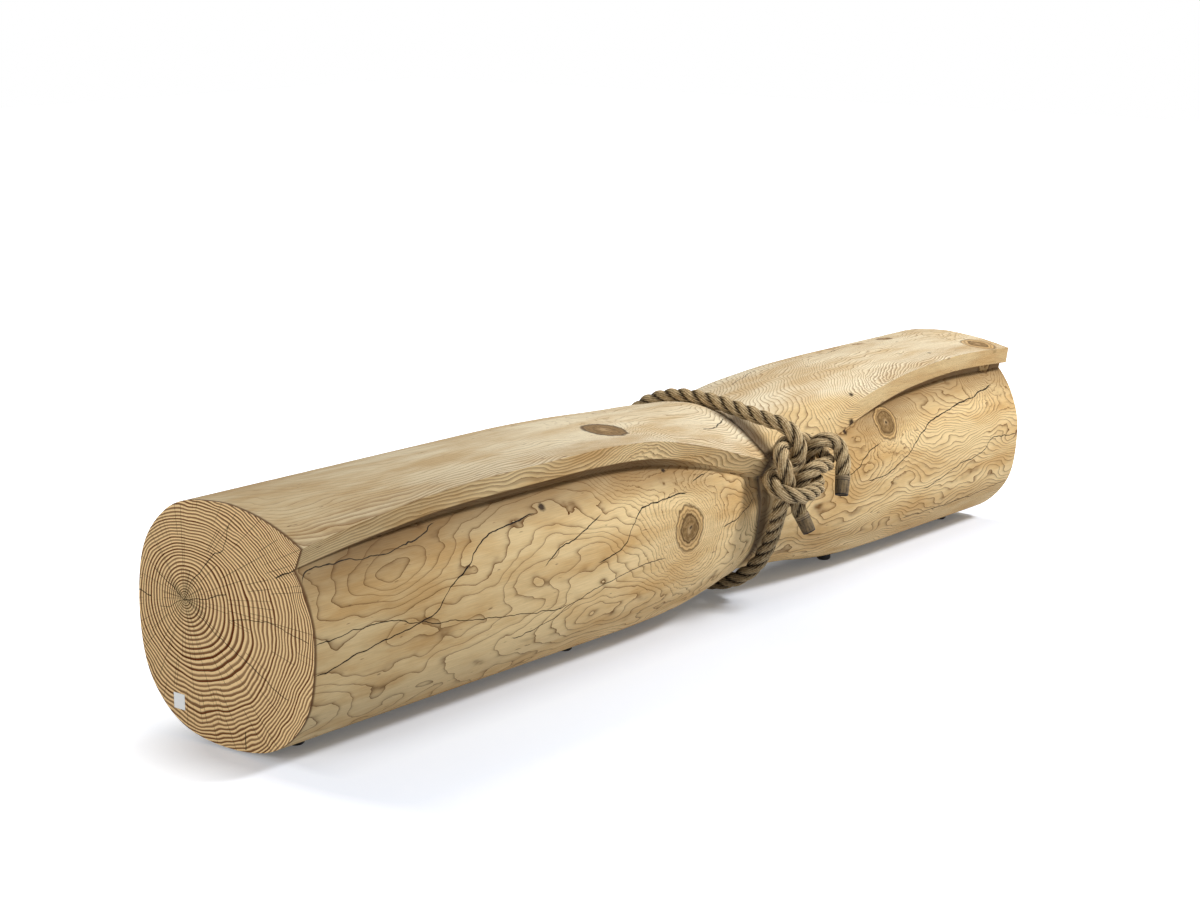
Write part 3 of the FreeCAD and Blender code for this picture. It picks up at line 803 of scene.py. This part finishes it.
# %% Cut the side cracks
FRONT_CRACKS = (
    # half width in millimetres, then points (x, z) in metres
    (1.2, (-1.130, 0.322), (-1.115, 0.335), (-1.063, 0.342), (-0.932, 0.335), (-0.824, 0.346),
     (-0.779, 0.358)),
    (1.5, (-1.130, 0.168), (-0.980, 0.196), (-0.858, 0.212), (-0.797, 0.256), (-0.745, 0.281),
     (-0.707, 0.307), (-0.629, 0.325), (-0.538, 0.331)),
    (1.5, (-0.556, 0.238), (-0.509, 0.262), (-0.461, 0.270), (-0.407, 0.291), (-0.372, 0.302)),
    (1.5, (-0.410, 0.215), (-0.266, 0.283), (-0.242, 0.292), (-0.184, 0.294), (-0.103, 0.297)),
    (1.2, (-0.093, 0.306), (-0.024, 0.316)),
    (1.4, (-0.017, 0.207), (0.083, 0.227), (0.118, 0.240)),
    (1.2, (-1.130, 0.228), (-0.985, 0.232), (-0.870, 0.206), (-0.640, 0.168), (-0.470, 0.150)),
    (1.2, (-0.640, 0.120), (-0.380, 0.170), (-0.190, 0.185)),
    (1.4, (0.430, 0.232), (0.576, 0.281)),
    (1.6, (0.507, 0.206), (0.786, 0.298), (0.940, 0.318), (1.057, 0.334)),
    (1.4, (0.725, 0.150), (0.859, 0.176), (0.987, 0.198), (1.020, 0.218), (1.129, 0.213)),
    (1.2, (0.679, 0.092), (0.926, 0.085), (1.128, 0.099)),
)
SOFT_EDGE = 0.8 * MM
WIDEST_HALF = 1.6 * MM
CURVE_HEIGHT = 0.450
CRACK_TAPER = 0.020
SPLINTER_SIZE = 41.67 * MM
SPLINTER_HEIGHT = 0.016


def curve_over_length(shares, points):
    """A curve node over the trunk's length, through points of (x, value between 0 and 1)."""
    held = tree.nodes.new("ShaderNodeFloatCurve")
    curve = held.mapping.curves[0]
    for x, value in points[1:-1]:
        curve.points.new((x / HALF_LENGTH + 1) / 2, value)
    for end, (x, value) in zip((curve.points[0], curve.points[-1]), (points[0], points[-1])):
        end.location = ((x / HALF_LENGTH + 1) / 2, value)
    for point in curve.points:
        point.handle_type = "AUTO_CLAMPED"
    held.mapping.update()
    tree.links.new(shares, held.inputs["Value"])
    return held.outputs["Value"]


pairs = []
for crack in sorted(FRONT_CRACKS, key=lambda crack: crack[1]):
    free = [p for p in pairs if p[-1][-1][0] + 2 * CRACK_TAPER < crack[1][0]]
    if free:
        free[0].append(crack)
    else:
        pairs.append([crack])

torn_place = shaken_place(SPLINTER_SIZE, SPLINTER_HEIGHT, 0.5)
torn = shade(tree, "SeparateXYZ", torn_place).node.outputs
along = shade(tree, "Math", torn["X"], 0.5 / HALF_LENGTH, 0.5, do="MULTIPLY_ADD")
high = shade(tree, "Math", torn["Z"], 1 / CURVE_HEIGHT, do="MULTIPLY")
side_cracks = 0.0
for pair in pairs:
    heights = [(x, z / CURVE_HEIGHT) for half, *points in pair for x, z in points]
    gapes = []
    for half, *points in pair:
        start, stop = points[0][0], points[-1][0]
        share = half * MM / WIDEST_HALF
        gapes += [(start, 0), (start + CRACK_TAPER, share), (stop - CRACK_TAPER, share), (stop, 0)]
    gap = shade(tree, "Math", high, curve_over_length(along, heights), do="SUBTRACT")
    gap = shade(tree, "Math", gap, do="ABSOLUTE")
    gape = curve_over_length(along, gapes)
    depth = shade(tree, "Math", gap, -CURVE_HEIGHT / WIDEST_HALF, gape, do="MULTIPLY_ADD")
    depth = shade(tree, "Math", depth, WIDEST_HALF / SOFT_EDGE, do="MULTIPLY")
    side_cracks = shade(tree, "Math", side_cracks, depth, do="MAXIMUM")
side_cracks = shade(tree, "Math", side_cracks, faces_front, do="MULTIPLY")
print("front cracks:", len(FRONT_CRACKS), "in", len(pairs), "pairs of curves")

# %% [markdown]
# ## The wood: checks in the end grain
#
# The end face dries first. A few large cracks run out from the pith and one opens under the lip,
# each drawn as a chain of straight strokes. Between them are hundreds of hair-fine checks, all of
# them pieces of rays from the pith: the turn round the pith is cut into sectors, and each sector
# holds one ray that shows only in some stretches of its length.

# %% Cut the end checks
END_CRACKS = (
    # half width in millimetres, then points (y, z) in metres
    (2.0, (-0.176, 0.347), (-0.150, 0.335), (-0.132, 0.325)),
    (1.1, (0.098, 0.250), (0.050, 0.256), (0.015, 0.270), (-0.010, 0.276)),
    (1.0, (0.098, 0.250), (0.075, 0.285), (0.020, 0.340), (-0.005, 0.352), (-0.020, 0.400)),
    (1.0, (0.098, 0.250), (0.140, 0.275), (0.170, 0.290)),
    (0.9, (0.098, 0.250), (0.135, 0.232), (0.160, 0.228)),
    (1.4, (0.217, 0.246), (0.185, 0.240)),
    (1.0, (0.070, 0.228), (-0.040, 0.170), (-0.150, 0.120)),
    (1.0, (-0.020, 0.236), (-0.120, 0.246), (-0.205, 0.228)),
    (1.3, (-0.045, 0.040), (-0.047, 0.010)),
)
TOP_CRACKS = (
    # half width in millimetres, then points (x, y) in metres
    (1.6, (0.027, -0.135), (0.080, -0.128), (0.131, -0.105)),
    (1.4, (0.330, 0.020), (0.470, 0.062)),
    (1.2, (0.700, 0.030), (0.830, 0.060)),
)
STROKE_DEPTH = 1.3


def stroke_group():
    """A group that is deepest on the line between two places and 0 a half width beside it."""
    group, given, answer = new_group("crack stroke", "Place", "Start", "Run", "Half width")
    away = shade(group, "VectorMath", given["Place"], given["Start"], do="SUBTRACT")
    along = shade(group, "VectorMath", away, given["Run"], do="DOT_PRODUCT", out=1)
    whole = shade(group, "VectorMath", given["Run"], given["Run"], do="DOT_PRODUCT", out=1)
    share = shade(group, "Clamp", shade(group, "Math", along, whole, do="DIVIDE"))
    foot = shade(group, "VectorMath", given["Run"], None, None, share, do="SCALE")
    gap = shade(group, "VectorMath", away, foot, do="DISTANCE", out=1)
    depth = shade(group, "MapRange", gap, 0.0, given["Half width"], STROKE_DEPTH, 0.0, clamp=False)
    group.links.new(depth, answer)
    return group


def draw_strokes(place, cracks, lift):
    """The deepest of many strokes, each chain's points lifted from two numbers to a place."""
    deepest = 0.0
    for half, *points in cracks:
        for start, stop in zip(points, points[1:]):
            begin, end = lift(*start), lift(*stop)
            depth = shade(tree, "Group", place, begin, end - begin, half * MM,
                          node_tree=crack_group)
            deepest = shade(tree, "Math", deepest, depth, do="MAXIMUM")
    return deepest


crack_group = stroke_group()
end_place = shade(tree, "VectorMath", torn_place, (0, 1, 1), do="MULTIPLY")
top_place = shade(tree, "VectorMath", torn_place, (1, 1, 0), do="MULTIPLY")
end_cracks = draw_strokes(end_place, END_CRACKS, lambda y, z: Vector((0, y, z)))
top_cracks = draw_strokes(top_place, TOP_CRACKS, lambda x, y: Vector((x, y, 0)))

SECTORS = 110
STRETCH = 0.055
CHECK_HALF = 0.85 * MM
ray = shade(tree, "SeparateXYZ", from_pith).node.outputs
turned = shade(tree, "Math", ray["Z"], ray["Y"], do="ARCTAN2")
turned = shade(tree, "Math", turned, SECTORS / math.tau, do="MULTIPLY")
sector = shade(tree, "Math", turned, do="FLOOR")
reached = shade(tree, "VectorMath", from_pith, do="LENGTH", out=1)
stretch = shade(tree, "Math", reached, STRETCH, do="DIVIDE")
stretch = shade(tree, "Math", stretch, do="FLOOR")
luck = shade(tree, "TexWhiteNoise", shade(tree, "CombineXYZ", sector, stretch, 0.0),
             noise_dimensions="2D")
aside = shade(tree, "TexWhiteNoise", None, sector, noise_dimensions="1D")
aside = shade(tree, "MapRange", aside, 0.0, 1.0, 0.2, 0.8)
turned = shade(tree, "Math", turned, do="FRACT")
aside = shade(tree, "Math", turned, aside, do="SUBTRACT")
aside = shade(tree, "Math", aside, do="ABSOLUTE")
aside = shade(tree, "Math", aside, reached, do="MULTIPLY")
check = shade(tree, "MapRange", aside, 0.0, CHECK_HALF * SECTORS / math.tau, 1.0, 0.0)
shown = shade(tree, "MapRange", luck, 0.54, 0.84, 0.0, 0.8)
checks = shade(tree, "Math", check, shown, do="MULTIPLY")
end_cracks = shade(tree, "Math", end_cracks, checks, do="MAXIMUM")
end_cracks = shade(tree, "Math", end_cracks, end_grain, do="MULTIPLY")
top_cracks = shade(tree, "Math", top_cracks, faces_up, do="MULTIPLY")
side_cracks = shade(tree, "Math", side_cracks, top_cracks, do="MAXIMUM")
side_cracks = shade(tree, "Math", side_cracks, side_grain, do="MULTIPLY")
cracks = shade(tree, "Math", side_cracks, end_cracks, do="MAXIMUM", use_clamp=True)
print("rays in the end grain:", SECTORS)

# %% [markdown]
# ## The wood: colour and relief
#
# Planed cedar is a pale yellowish tan. The seat is painted paler, as painted light, less so
# towards the near end, where all the long grain is painted darker, as painted shade. The end
# grain is warmer, because its open pores drink the oil. Under the lip the wood is painted brown,
# as painted shade, and behind the rope darker still, as a painted shadow of the rope. Long
# stains and small dark flecks break the tone, fibres streak every surface lengthwise, and the
# edge of the near end is painted dark, as painted shade. A real fibre is far too fine to show,
# so its streak is drawn 1.3 mm wide. The oil leaves a soft sheen, so the roughness stays above
# a half, and the relief is slight.

# %% Colour the cedar
LIP_EDGE = (
    # the lip's lower edge, as in the solids, in points (x, z) in metres
    (-1.130, 0.348), (-0.981, 0.366), (-0.678, 0.385), (-0.377, 0.384), (-0.210, 0.374),
    (-0.050, 0.339), (0.066, 0.303), (0.151, 0.279), (0.271, 0.287), (0.370, 0.305),
    (0.470, 0.330), (0.570, 0.355), (0.723, 0.379), (0.904, 0.387), (1.051, 0.381),
    (1.130, 0.375),
)
ROPE_SHADOW_X = 0.168
FIBRE_ACROSS = 1.3 * MM
FIBRE_ALONG = 45 * MM
STAIN_ACROSS = 58.8 * MM
STAIN_ALONG = 250 * MM
FLECK_ACROSS = 5.88 * MM
FLECK_ALONG = 31.25 * MM
fibres = stretched_noise(FIBRE_ALONG, FIBRE_ACROSS, 3.0, 0.6)
stains = stretched_noise(STAIN_ALONG, STAIN_ACROSS, 4.0, 0.6)
stains = shade(tree, "MapRange", stains, 0.36, 0.60, 0.0, 1.0)
side_wood = shade(tree, "MixRGB", stains, colour("#C9A46D"), colour("#E0C593"))
# painted light: the seat gets paler copies of the wood's colours, less so towards the near end
lit_seat_wood = shade(tree, "MixRGB", stains, colour("#CDB389"), colour("#E6D7B7"))
painted_seat_light = shade(tree, "MapRange", spot["X"], -1.10, -0.45, 0.40, 1.0)
painted_seat_light = shade(tree, "Math", painted_seat_light, faces_up, do="MULTIPLY")
wood = shade(tree, "MixRGB", painted_seat_light, side_wood, lit_seat_wood)
wood = shade(tree, "MixRGB", end_grain, wood, colour("#F6D299"))
# painted light: the late wood on the seat is paler than on the sides
late_wood = shade(tree, "MixRGB", faces_up, colour("#5C3304"), colour("#7A4F1C"))
late_wood = shade(tree, "MixRGB", end_grain, late_wood, colour("#5C2800"))
wood = shade(tree, "MixRGB", late, wood, late_wood)

length_share = shade(tree, "Math", spot["X"], 0.5 / HALF_LENGTH, 0.5, do="MULTIPLY_ADD")
lip_edge = curve_over_length(length_share, [(x, z / CURVE_HEIGHT) for x, z in LIP_EDGE])
lip_edge = shade(tree, "Math", lip_edge, CURVE_HEIGHT, do="MULTIPLY")
below_lip = shade(tree, "Math", lip_edge, spot["Z"], do="SUBTRACT")
# painted shade: the front below the lip's lower edge is mixed towards brown
painted_lip_shade = shade(tree, "MapRange", below_lip, 0.014, 0.078, 0.78, 0.0)
high_lip = shade(tree, "MapRange", lip_edge, 0.31, 0.37, 0.0, 1.0)
starts_there = shade(tree, "MapRange", below_lip, -1 * MM, 1 * MM, 0.0, 1.0)
on_front = shade(tree, "MapRange", spot["Y"], -0.10, -0.13, 0.0, 1.0)
for mask in (high_lip, starts_there, on_front, side_grain):
    painted_lip_shade = shade(tree, "Math", painted_lip_shade, mask, do="MULTIPLY")
# painted shadow: the rope's shadow in the waist, drawn as a dark band on the front
from_rope = shade(tree, "Math", spot["X"], ROPE_SHADOW_X, do="SUBTRACT")
from_rope = shade(tree, "Math", from_rope, do="ABSOLUTE")
painted_rope_shadow = shade(tree, "MapRange", from_rope, 0.026, 0.044, 0.84, 0.0)
near_knot = shade(tree, "MapRange", spot["Y"], -0.05, -0.09, 0.0, 1.0)
for mask in (near_knot, side_grain):
    painted_rope_shadow = shade(tree, "Math", painted_rope_shadow, mask, do="MULTIPLY")
wood = shade(tree, "MixRGB", painted_lip_shade, wood, colour("#6B4A26"))
wood = shade(tree, "MixRGB", painted_rope_shadow, wood, colour("#452F18"))

flecks = stretched_noise(FLECK_ALONG, FLECK_ACROSS, 1.0, 0.5)
flecks = shade(tree, "MapRange", flecks, 0.74, 0.79, 0.0, 0.6)
flecks = shade(tree, "Math", flecks, side_grain, do="MULTIPLY")
wood = shade(tree, "MixRGB", flecks, wood, colour("#5E4024"))

fibre_tone = shade(tree, "MapRange", fibres, 0.3, 0.7, 0.88, 1.08)
# painted shade: the long grain is drawn darker towards the near end
painted_near_end_shade = shade(tree, "MapRange", spot["X"], -0.95, -0.30, 0.80, 1.0)
painted_near_end_shade = shade(tree, "MixRGB", end_grain, painted_near_end_shade, (1, 1, 1, 1))
fibre_tone = shade(tree, "Math", fibre_tone, painted_near_end_shade, do="MULTIPLY")
wood = shade(tree, "VectorMath", wood, None, None, fibre_tone, do="SCALE")
near_pith = shade(tree, "MapRange", true_shell, 0.0, 0.045, 0.35, 0.0)
near_pith = shade(tree, "Math", near_pith, end_grain, do="MULTIPLY")
wood = shade(tree, "MixRGB", near_pith, wood, colour("#8F8058"))
print("the lip's edge runs through", len(LIP_EDGE), "points")

# %% Colour the knots and cracks
CORE_RINGS = 26.0
COLLAR_RINGS = 34.0
MOTTLE = 6.67 * MM
OILED_WOOD_IOR = 1.42
GRAIN_RELIEF = 0.6 * MM
around_core = shade(tree, "Math", nearest_core, CORE_RINGS, do="MULTIPLY")
around_core = shade(tree, "Math", around_core, do="SINE")
around_core = shade(tree, "MapRange", around_core, -1.0, 1.0, 0.0, 0.6)
core_wood = shade(tree, "MixRGB", around_core, colour("#795C37"), colour("#38240F"))
mottle = shade(tree, "TexNoise", place, None, 1 / MOTTLE, 3.0, 0.6)
mottle = shade(tree, "MapRange", mottle, 0.42, 0.66, 0.0, 0.45)
core_wood = shade(tree, "MixRGB", mottle, core_wood, colour("#B4925F"))
heart = shade(tree, "MapRange", nearest_core, 0.04, 0.42, 0.7, 0.0)
core_wood = shade(tree, "MixRGB", heart, core_wood, colour("#C2A478"))
collar = shade(tree, "Math", nearest, COLLAR_RINGS, do="MULTIPLY")
collar = shade(tree, "Math", collar, do="SINE")
collar = shade(tree, "MapRange", collar, -0.6, 1.0, 0.0, 0.85)
collar = shade(tree, "MixRGB", collar, colour("#C7A36C"), colour("#6B4A24"))
in_knot = shade(tree, "MapRange", nearest, 0.94, 1.04, 0.8, 0.0)
wood = shade(tree, "MixRGB", in_knot, wood, collar)
in_core = shade(tree, "MapRange", nearest_core, 0.78, 1.10, 0.9, 0.0)
wood = shade(tree, "MixRGB", in_core, wood, core_wood)
for edge_distance, half_width, most in ((nearest, 0.09, 0.6), (nearest_core, 0.18, 0.75)):
    rim = shade(tree, "Math", edge_distance, 1.0, do="SUBTRACT")
    rim = shade(tree, "Math", rim, do="ABSOLUTE")
    rim = shade(tree, "MapRange", rim, 0.0, half_width, most, 0.0)
    wood = shade(tree, "MixRGB", rim, wood, colour("#3A220C"))
pin_wood = shade(tree, "MapRange", nearest_pin, 0.7, 1.5, 0.95, 0.0)
wood = shade(tree, "MixRGB", pin_wood, wood, colour("#2C1D12"))
# painted shade: a dark strip on the long grain along the near end's edge
painted_edge_shade = shade(tree, "MapRange", from_end, 3.5 * MM, 8.0 * MM, 0.9, 0.0)
painted_edge_shade = shade(tree, "Math", painted_edge_shade, side_grain, do="MULTIPLY")
wood = shade(tree, "MixRGB", painted_edge_shade, wood, colour("#583A20"))
wood = shade(tree, "MixRGB", cracks, wood, colour("#150D07"))
relief = shade(tree, "Bump", 0.35, GRAIN_RELIEF, None, fibres)
coat(tree, surface, wood, {"Roughness": 0.65, "IOR": OILED_WOOD_IOR, "Specular IOR Level": 0.12},
     relief)


def refinish(node, finish):
    """Gives a CAD node its finish, and keeps its mesh."""
    mesh = nodes[node].data
    mesh.materials.clear()
    mesh.materials.append(finish)


refinish("log", cedar)
print("cedar shader has", len(tree.nodes), "nodes")

# %% [markdown]
# ## Glides, screws and plate
#
# The glides are moulded nylon, black, with the satin grain of their mould. Their screws are steel
# with a dull, faintly mottled zinc plating. The small plate on the near end is white enamel with a
# soft gloss. Their grains are drawn coarser than they are, 1 to 3 mm wide, so that they show.

# %% Finish the small parts
SMALL_PARTS = (
    # material, first letters of its pieces, size, detail and relief of its grain,
    # dark and pale colour, and how metallic and how rough it is
    ("moulded black nylon", ("glide_front", "glide_back"), 1.11 * MM, 3.0, 0.1 * MM,
     "#0E0E0F", "#1C1C1E", 0, 0.45),
    ("zinc plated steel", ("glide_screws",), 2.00 * MM, 2.0, 0, "#A9ABAD", "#C6C8C9", 1, 0.38),
    ("white enamel", ("end_plate",), 3.33 * MM, 3.0, 0, "#F6F8F4", "#FFFFFD", 0, 0.30),
)
for material, pieces, size, detail, depth, dark, pale, metallic, roughness in SMALL_PARTS:
    finish, tree, surface = finish_named(material)
    grain = shade(tree, "TexNoise", shade(tree, "TexCoord", out=3), None, 1 / size, detail, 0.5)
    skin = shade(tree, "MixRGB", grain, colour(dark), colour(pale))
    relief = shade(tree, "Bump", 0.2, depth, None, grain) if depth else None
    coat(tree, surface, skin, {"Metallic": metallic, "Roughness": roughness}, relief)
    for name in nodes:
        if name.startswith(pieces):
            refinish(name, finish)
print("finished nodes:", len(nodes))
